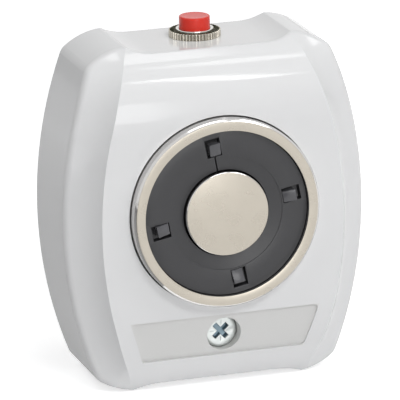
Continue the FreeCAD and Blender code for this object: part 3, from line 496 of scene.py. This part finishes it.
def choose(piece, wanted):
    """Selects, in edit mode, the points that wanted(place in millimetres) names."""
    mesh = bmesh.from_edit_mesh(piece.data)
    for point in mesh.verts:
        point.select = wanted(point.co / MM)
    mesh.select_flush(True)
    mesh.select_flush(False)
    bmesh.update_edit_mesh(piece.data)


def apply_modifier(piece, kind, **settings):
    activate(piece)
    modifier = piece.modifiers.new(kind.lower(), kind)
    for key, value in settings.items():
        setattr(modifier, key, value)
    bpy.ops.object.modifier_apply(modifier=modifier.name)


def soften(piece, width, segments=2, angle=30):
    """Rounds every sharp edge by a width in millimetres and shades the rest smooth."""
    apply_modifier(
        piece, "BEVEL", width=width * MM, segments=segments, limit_method="ANGLE",
        angle_limit=math.radians(angle)
    )
    shade(piece, angle)


def shade(piece, angle=30):
    activate(piece)
    bpy.ops.object.shade_smooth_by_angle(angle=math.radians(angle))


def cut(piece, cutters):
    for cutter in cutters:
        apply_modifier(piece, "BOOLEAN", operation="DIFFERENCE", solver="EXACT", object=cutter)
        bpy.data.objects.remove(cutter)


def join(piece, others):
    deselect()
    for other in others:
        other.select_set(True)
    piece.select_set(True)
    bpy.context.view_layer.objects.active = piece
    bpy.ops.object.join()


def turn_about(piece, centre, axis, degrees):
    """Turns a piece about a line and leaves the turn in its mesh."""
    activate(piece)
    there = Matrix.Translation(centre * MM)
    piece.matrix_world = there @ Matrix.Rotation(math.radians(degrees), 4, axis) @ there.inverted()
    bpy.ops.object.transform_apply(location=True, rotation=True)


def dress(piece, finish):
    piece.data.materials.clear()
    piece.data.materials.append(FINISHES[finish])


def settle(piece, name, body, finish, *nodes):
    """Names a finished piece, lets it ride on its body and stand for its CAD nodes."""
    piece.name = name
    piece.data.name = name
    if finish:
        dress(piece, finish)
    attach(piece, body)
    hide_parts(*nodes)
    return piece


def block(x0, x1, f0, f1, z0, z1):
    """Block between two places across, out from the wall and up."""
    middle = Vector(((x0 + x1) / 2, -(f0 + f1) / 2, (z0 + z1) / 2))
    bpy.ops.mesh.primitive_cube_add(size=MM, location=middle * MM)
    piece = bpy.context.object
    piece.scale = (x1 - x0, f1 - f0, z1 - z0)
    bpy.ops.object.transform_apply(location=True, scale=True)
    return piece


def turned(centre, axis, rings, sides=128):
    """A ring drawn out and widened or narrowed step by step; rings are (radius, place)."""
    radius, place = rings[0]
    bpy.ops.mesh.primitive_circle_add(
        vertices=sides, radius=radius * MM, location=(centre + axis * place) * MM,
        rotation=axis.to_track_quat("Z", "Y").to_euler()
    )
    piece = bpy.context.object
    bpy.ops.object.transform_apply(location=True, rotation=True)
    edit(piece)
    for wider, further in rings[1:]:
        step = axis * (further - place) * MM
        bpy.ops.mesh.extrude_edges_move(TRANSFORM_OT_translate={"value": step})
        middle = (centre + axis * further) * MM
        bpy.ops.transform.resize(value=(wider / radius,) * 3, center_override=middle)
        radius, place = wider, further
    bpy.ops.mesh.select_all(action="SELECT")
    bpy.ops.mesh.remove_doubles(threshold=0.002 * MM)
    bpy.ops.mesh.select_all(action="DESELECT")
    bpy.ops.mesh.select_non_manifold()
    bpy.ops.mesh.edge_face_add()
    bpy.ops.mesh.select_all(action="SELECT")
    bpy.ops.mesh.normals_make_consistent(inside=False)
    close_edit()
    return piece


def on_axis(node):
    """The foot, at the wall, of the line that a turned piece of the magnet stands on."""
    return Vector((node.centre.x, 0, node.centre.z))


def rounded(radius, place, size, steps=5):
    """Rings of a rim that rounds in from (radius, place - size) to (radius - size, place)."""
    turns = [math.pi / 2 * i / steps for i in range(steps + 1)]
    return [(radius - size + size * math.cos(t), place - size + size * math.sin(t)) for t in turns]


def holding_ring():
    """Turned steel cup with a crisp chamfer."""
    face, rear, outer = MAGNET.front, MAGNET.rear, MAGNET.radius
    inner = outer - CUP_WALL
    ring = turned(on_axis(MAGNET), FORWARD, [
        (SPIGOT_RADIUS, rear),
        (outer - CUP_CHAMFER, rear),
        (outer, rear + CUP_CHAMFER),
        (outer, face - CUP_CHAMFER),
        (outer - CUP_CHAMFER, face),
        (inner, face),
        (inner, rear + CUP_FLOOR),
        (SPIGOT_RADIUS, rear + CUP_FLOOR),
        (SPIGOT_RADIUS, rear),
    ], 192)
    soften(ring, 0.07)
    settle(ring, "holding_ring", HOUSING, "nickel", "magnet_cup")


def pole():
    """Round pole with a lightly broken edge and a threaded bore in the rear."""
    core = Measured("magnet_core")
    piece = turned(on_axis(core), FORWARD, [
        (POLE_BORE, core.rear + POLE_BORE_DEPTH),
        (POLE_BORE, core.rear),
        (SPIGOT_RADIUS, core.rear),
        (SPIGOT_RADIUS, core.rear + CUP_FLOOR),
        (core.radius, core.rear + CUP_FLOOR),
        (core.radius, core.front - POLE_EDGE),
        (core.radius - POLE_EDGE, core.front),
    ])
    soften(piece, 0.06)
    settle(piece, "pole_face", HOUSING, "nickel", "magnet_core")


def window_pieces(face, z):
    """A window's cutter and its hook, a ramp that rises towards the rim."""
    half = WINDOW_WIDTH / 2
    opening = block(WINDOW_INNER, WINDOW_OUTER, face - WINDOW_DEPTH, face + 1, z - half, z + half)
    inner = WINDOW_INNER + HOOK_GAP / 2
    low = face - WINDOW_DEPTH
    side = z - HOOK_ASIDE - HOOK_WIDTH / 2
    hook = block(inner, inner + HOOK_LENGTH, low - HOOK_ROOT, face + HOOK_TIP, side, side + HOOK_WIDTH)
    edit(hook)
    choose(hook, lambda place: place.x < inner + 1 and -place.y > low)
    bpy.ops.transform.translate(value=-FORWARD * (HOOK_TIP + HOOK_FOOT_SUNK) * MM)
    close_edit()
    soften(hook, 0.14)
    dress(hook, "hook")
    return opening, hook


def bobbin():
    """Flanged spool with a stepped face, a slit and four windows that hold hooks."""
    body = Measured("coil_bobbin")
    foot, face = on_axis(body), body.front
    outer = MAGNET.radius - CUP_WALL - FLANGE_GAP
    tube = BOBBIN_INNER + BOBBIN_TUBE
    spool = turned(foot, FORWARD, [
        (BOBBIN_INNER, body.rear),
        (outer, body.rear),
        (outer, body.rear + REAR_FLANGE),
        (tube, body.rear + REAR_FLANGE),
        (tube, face - FRONT_FLANGE),
        (outer, face - FRONT_FLANGE),
        (outer, face),
        (STEP_RADIUS, face),
        (STEP_RADIUS, face - STEP_DEPTH),
        (BOBBIN_INNER, face - STEP_DEPTH),
        (BOBBIN_INNER, body.rear),
    ])
    turns = [WINDOW_START + 360 / WINDOWS * i for i in range(WINDOWS)]
    cutters, hooks = [], []
    for degrees in turns:
        for piece, group in zip(window_pieces(face, foot.z), (cutters, hooks)):
            turn_about(piece, foot, FORWARD, degrees)
            group.append(piece)
    half = SLIT_WIDTH / 2
    slit = block(
        BOBBIN_INNER - 1, WINDOW_INNER + 1, face - WINDOW_DEPTH, face + 1, foot.z - half, foot.z + half
    )
    turn_about(slit, foot, FORWARD, turns[1])
    cut(spool, cutters + [slit])
    soften(spool, 0.09)
    dress(spool, "dark")
    join(spool, hooks)
    settle(spool, "bobbin_face", HOUSING, None, "coil_bobbin")


def cross_arm(centre, face, degrees):
    """One bar of the cross recess, narrower at its bottom."""
    half, width = CROSS_SPAN / 2, CROSS_WIDTH / 2
    bar = block(-half, half, face - CROSS_DEPTH, face + 0.5, centre.z - width, centre.z + width)
    edit(bar)
    choose(bar, lambda place: -place.y < face - 1)
    bpy.ops.transform.resize(value=CROSS_TAPER, center_override=centre * MM)
    close_edit()
    turn_about(bar, centre, FORWARD, degrees)
    return bar


def cover_screw():
    """Pan head screw with a cross recess and four fine ticks between its arms."""
    screw = Measured("cover_screw")
    foot, face = on_axis(screw), screw.front
    radius = screw.radius + SCREW_SPREAD
    seat = face - SCREW_HEAD_HEIGHT
    flat = radius * SCREW_FLAT
    run = radius - flat
    crown = []
    for i in range(7):
        angle = math.pi / 2 * i / 6
        crown.append((flat + run * math.cos(angle), face - SCREW_CROWN + SCREW_CROWN * math.sin(angle)))
    thread = []
    place = screw.rear + SCREW_PITCH
    while place < seat - SCREW_PITCH:
        thread += [(SCREW_RADIUS - THREAD_DEPTH, place), (SCREW_RADIUS, place + SCREW_PITCH / 2)]
        place += SCREW_PITCH
    piece = turned(foot, FORWARD, [
        (SCREW_RADIUS - SCREW_POINT, screw.rear),
        *thread,
        (SCREW_RADIUS, seat),
        (radius, seat),
        *crown,
    ], 96)
    cutters = [cross_arm(foot, face, CROSS_TURN), cross_arm(foot, face, CROSS_TURN + 90)]
    start, half = CROSS_WIDTH, TICK_WIDTH / 2
    for i in range(4):
        tick = block(
            start, start + TICK_LENGTH, face - TICK_DEPTH, face + 0.5, foot.z - half, foot.z + half
        )
        turn_about(tick, foot, FORWARD, CROSS_TURN + 45 + 90 * i)
        cutters.append(tick)
    cut(piece, cutters)
    soften(piece, 0.05)
    settle(piece, "cross_recess_screw", HOUSING, "screw", "cover_screw")


def button_foot(node):
    return Vector((node.centre.x, node.centre.y, 0))


def knurled_nut():
    """Round nut whose rim is cut into upright teeth."""
    nut = Measured("button_nut")
    foot = button_foot(nut)
    root = nut.radius - NUT_TOOTH
    underside = (foot + UPWARD * nut.low) * MM
    bpy.ops.mesh.primitive_circle_add(
        vertices=4 * NUT_TEETH, radius=nut.radius * MM, fill_type="NGON", location=underside
    )
    piece = bpy.context.object
    bpy.ops.object.transform_apply(location=True)
    edit(piece)
    step = 2 * math.pi / NUT_TEETH

    def in_gap(place):
        across = place - foot
        share = math.atan2(across.y, across.x) / step % 1
        return GAP_FROM < share < GAP_TO

    choose(piece, in_gap)
    bpy.ops.transform.resize(value=(root / nut.radius,) * 3, center_override=underside)
    bpy.ops.mesh.select_all(action="SELECT")
    rise = UPWARD * (nut.high - nut.low) * MM
    bpy.ops.mesh.extrude_region_move(TRANSFORM_OT_translate={"value": rise})
    bpy.ops.mesh.select_all(action="SELECT")
    bpy.ops.mesh.normals_make_consistent(inside=False)
    close_edit()
    bore = turned(foot, UPWARD, [
        (NUT_BORE, nut.low - 1),
        (NUT_BORE, nut.high - NUT_COUNTERSINK),
        (NUT_BORE + 2 * NUT_COUNTERSINK, nut.high + NUT_COUNTERSINK),
    ], 96)
    cut(piece, [bore])
    soften(piece, 0.06, 1, 25)
    settle(piece, "round_nut", HOUSING, "knurl", "button_nut")


def button_bush():
    """Threaded bush, whose collar shows above the nut."""
    bush, nut = Measured("button_bush"), Measured("button_nut")
    thread = []
    place = bush.low + BUSH_FLANGE
    while place < nut.high - BUSH_PITCH:
        thread += [
            (BUSH_RADIUS - THREAD_DEPTH, place + BUSH_PITCH / 2),
            (BUSH_RADIUS, place + BUSH_PITCH),
        ]
        place += BUSH_PITCH
    piece = turned(button_foot(bush), UPWARD, [
        (BUSH_BORE, bush.low),
        (bush.radius, bush.low),
        (bush.radius, bush.low + BUSH_FLANGE),
        (BUSH_RADIUS, bush.low + BUSH_FLANGE),
        *thread,
        (BUSH_RADIUS, bush.high),
        (BUSH_BORE, bush.high),
        (BUSH_BORE, bush.low),
    ], 96)
    soften(piece, 0.08)
    settle(piece, "button_collar", HOUSING, "bush", "button_bush")


def button_cap():
    """Red cap with a rounded rim and a slightly dished top."""
    cap = Measured("button_cap")
    top, radius = cap.high, cap.radius
    dish = radius - CAP_RIM - CAP_FLAT_RIM
    piece = turned(button_foot(cap), UPWARD, [
        (CAP_BORE, top - CAP_ROOF),
        (CAP_BORE, cap.low),
        (radius, cap.low),
        *rounded(radius, top, CAP_RIM),
        (dish, top - CAP_DISH),
        (dish / 2, top - CAP_DISH * 1.6),
    ], 96)
    soften(piece, 0.08, 2, 40)
    settle(piece, "press_cap", BUTTON, "red", "button_cap")


def return_spring():
    """Coil spring under the button."""
    spring = Measured("button_spring")
    foot = button_foot(spring)
    coil = spring.radius - SPRING_WIRE / 2
    low, high = spring.low + SPRING_WIRE / 2, spring.high - SPRING_WIRE / 2
    bpy.ops.mesh.primitive_circle_add(
        vertices=10, radius=SPRING_WIRE / 2 * MM, rotation=(math.pi / 2, 0, 0), location=RIGHT * coil * MM
    )
    piece = bpy.context.object
    bpy.ops.object.transform_apply(location=True, rotation=True)
    apply_modifier(
        piece, "SCREW", axis="Z", angle=2 * math.pi * SPRING_TURNS,
        screw_offset=(high - low) * MM, steps=round(24 * SPRING_TURNS), use_merge_vertices=False
    )
    edit(piece)
    bpy.ops.mesh.select_all(action="DESELECT")
    bpy.ops.mesh.select_non_manifold()
    bpy.ops.mesh.edge_face_add()
    bpy.ops.mesh.select_all(action="SELECT")
    bpy.ops.mesh.normals_make_consistent(inside=False)
    bpy.ops.transform.translate(value=(foot + UPWARD * low) * MM)
    close_edit()
    shade(piece, 40)
    settle(piece, "return_spring", HOUSING, "spring", "button_spring")
    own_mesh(piece)


def make_camera():
    side, tilt, roll = math.radians(AZIMUTH), math.radians(ELEVATION), math.radians(ROLL)
    back = Vector((math.sin(side) * math.cos(tilt), -math.cos(side) * math.cos(tilt), math.sin(tilt)))
    level = Vector((math.cos(side), math.sin(side), 0))
    above = back.cross(level)
    right = level * math.cos(roll) - above * math.sin(roll)
    up = level * math.sin(roll) + above * math.cos(roll)
    data = bpy.data.cameras.new("camera")
    data.sensor_width = SENSOR
    data.lens = CAMERA_LENS
    data.clip_start = 0.05
    data.clip_end = 30
    camera = bpy.data.objects.new("camera", data)
    bpy.context.scene.collection.objects.link(camera)
    turn = Matrix((right, up, back)).transposed().to_4x4()
    place = (Vector(CAMERA_AIM) + back * CAMERA_DISTANCE) * MM
    camera.matrix_world = Matrix.Translation(place) @ turn
    bpy.context.scene.camera = camera


def background_ray(tree):
    """1 for a ray that the background answers: straight, mirrored or let through."""
    path = tree.nodes.new("ShaderNodeLightPath")
    straight, mirrored, through = [
        path.outputs[name] for name in ("Is Camera Ray", "Is Glossy Ray", "Is Transmission Ray")
    ]
    total = straight
    for other in (mirrored, through):
        larger = tree.nodes.new("ShaderNodeMath")
        larger.operation = "MAXIMUM"
        tree.links.new(total, larger.inputs[0])
        tree.links.new(other, larger.inputs[1])
        total = larger.outputs[0]
    return total


def make_world():
    world = bpy.data.worlds.new("white studio")
    bpy.context.scene.world = world
    world.use_nodes = True
    tree = world.node_tree
    fill = tree.nodes["Background"]
    fill.inputs["Color"].default_value = (1, 1, 1, 1)
    fill.inputs["Strength"].default_value = WORLD_FILL
    white = tree.nodes.new("ShaderNodeBackground")
    mix = tree.nodes.new("ShaderNodeMixShader")
    tree.links.new(background_ray(tree), mix.inputs[0])
    tree.links.new(fill.outputs[0], mix.inputs[1])
    tree.links.new(white.outputs[0], mix.inputs[2])
    white.inputs["Color"].default_value = (1, 1, 1, 1)
    tree.links.new(mix.outputs[0], tree.nodes["World Output"].inputs["Surface"])


def make_floor():
    """Pale floor that glows a little for background rays and keeps the shadow."""
    deselect()
    height = cad_box[0][2] - FLOOR_GAP * MM
    bpy.ops.mesh.primitive_plane_add(size=2 * FLOOR_HALF, location=(0, 0, height))
    floor = bpy.context.object
    floor.name = "floor"
    material = bpy.data.materials.new("pale floor")
    material.use_nodes = True
    tree = material.node_tree
    shader = tree.nodes["Principled BSDF"]
    shader.inputs["Base Color"].default_value = (*FLOOR_COLOUR, 1)
    shader.inputs["Roughness"].default_value = 0.9
    shader.inputs["Specular IOR Level"].default_value = 0
    glow = tree.nodes.new("ShaderNodeEmission")
    glow.inputs["Strength"].default_value = FLOOR_GLOW
    lit = tree.nodes.new("ShaderNodeAddShader")
    tree.links.new(shader.outputs[0], lit.inputs[0])
    tree.links.new(glow.outputs[0], lit.inputs[1])
    mix = tree.nodes.new("ShaderNodeMixShader")
    tree.links.new(background_ray(tree), mix.inputs[0])
    tree.links.new(shader.outputs[0], mix.inputs[1])
    tree.links.new(lit.outputs[0], mix.inputs[2])
    tree.links.new(mix.outputs[0], tree.nodes["Material Output"].inputs["Surface"])
    floor.data.materials.append(material)


def make_card():
    """Board on the floor that darkens what the left side mirrors, fading towards the back."""
    deselect()
    middle = ((CARD_LEFT + CARD_RIGHT) / 2, (CARD_FRONT + CARD_BACK) / 2, cad_box[0][2])
    bpy.ops.mesh.primitive_plane_add(size=1, location=middle)
    card = bpy.context.object
    card.name = "card at the left"
    card.scale = (CARD_RIGHT - CARD_LEFT, CARD_BACK - CARD_FRONT, 1)
    finish = Finish("card", Specular_IOR_Level=0, Emission_Strength=1)
    x, y, z = finish.axes(finish.node("ShaderNodeTexCoord", {}, {}, "Object"))
    glow = finish.blend(y + 0.5, (CARD_FRONT_GLOW,) * 3, (CARD_BACK_GLOW,) * 3)
    card.data.materials.append(finish.gives(Base_Color=(0, 0, 0), Emission_Color=glow))
    card.visible_camera = False
    card.visible_diffuse = False
    card.visible_transmission = False
    card.visible_shadow = False


def make_lamps():
    for name, direction, distance, width, height, watts, mirrored in LAMPS:
        data = bpy.data.lights.new(name, "AREA")
        data.shape = "RECTANGLE"
        data.size = width
        data.size_y = height
        data.energy = watts
        lamp = bpy.data.objects.new(name, data)
        lamp.visible_glossy = mirrored
        way = Vector(direction).normalized()
        turn = way.to_track_quat("Z", "Y").to_matrix().to_4x4()
        lamp.matrix_world = Matrix.Translation(way * distance) @ turn
        bpy.context.scene.collection.objects.link(lamp)


bpy.context.scene.view_settings.view_transform = "Standard"
dress_cad_nodes()
holding_ring()
pole()
bobbin()
cover_screw()
knurled_nut()
button_bush()
button_cap()
return_spring()
make_world()
make_floor()
make_card()
make_lamps()
make_camera()
